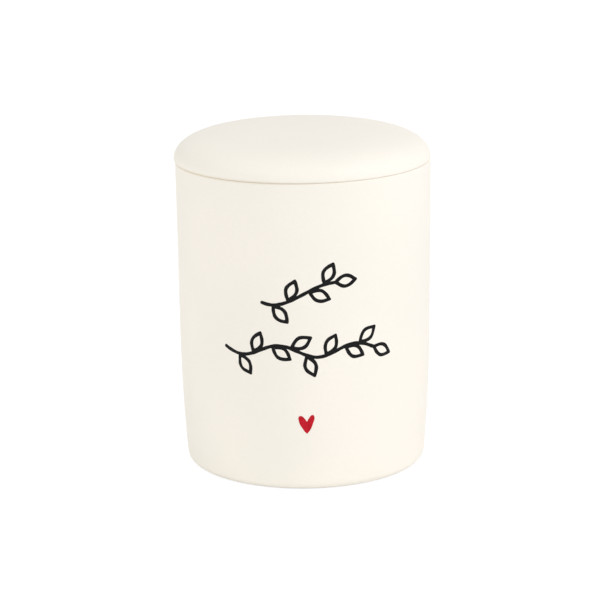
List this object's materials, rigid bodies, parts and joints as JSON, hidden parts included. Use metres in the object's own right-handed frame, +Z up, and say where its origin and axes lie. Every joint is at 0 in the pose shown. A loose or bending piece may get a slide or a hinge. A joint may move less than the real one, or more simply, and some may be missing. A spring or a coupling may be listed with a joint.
{
  "type": "cotton pad holder",
  "caption": "Round glazed ceramic jar for cotton pads, with a low domed lid that lifts off, a silicone seal on the lid's flange, and a fired print of leafy sprigs and a heart.",
  "frame": {"origin": "centre of the foot, on the surface that the jar stands on", "axes": "+Z up along the jar's axis; the print faces -Y, and +X is to its right"},
  "size_m": [0.0904, 0.0904, 0.1194],
  "materials": {
    "glaze": "cream white satin glaze",
    "silicone": "milky translucent silicone",
    "black_print": "black enamel, fired on the glaze",
    "red_print": "red enamel, fired on the glaze"
  },
  "bodies": {
    "jar": {"jar": "glaze", "upper_sprig": "black_print", "lower_sprig": "black_print", "heart": "red_print"},
    "lid": {"lid": "glaze", "seal_ring": "silicone"}
  },
  "joints": [
    {"name": "lid_lift", "type": "slide", "parent": "jar", "child": "lid", "axis": [0, 0, 1], "range_m": [0, 0.1]}
  ]
}
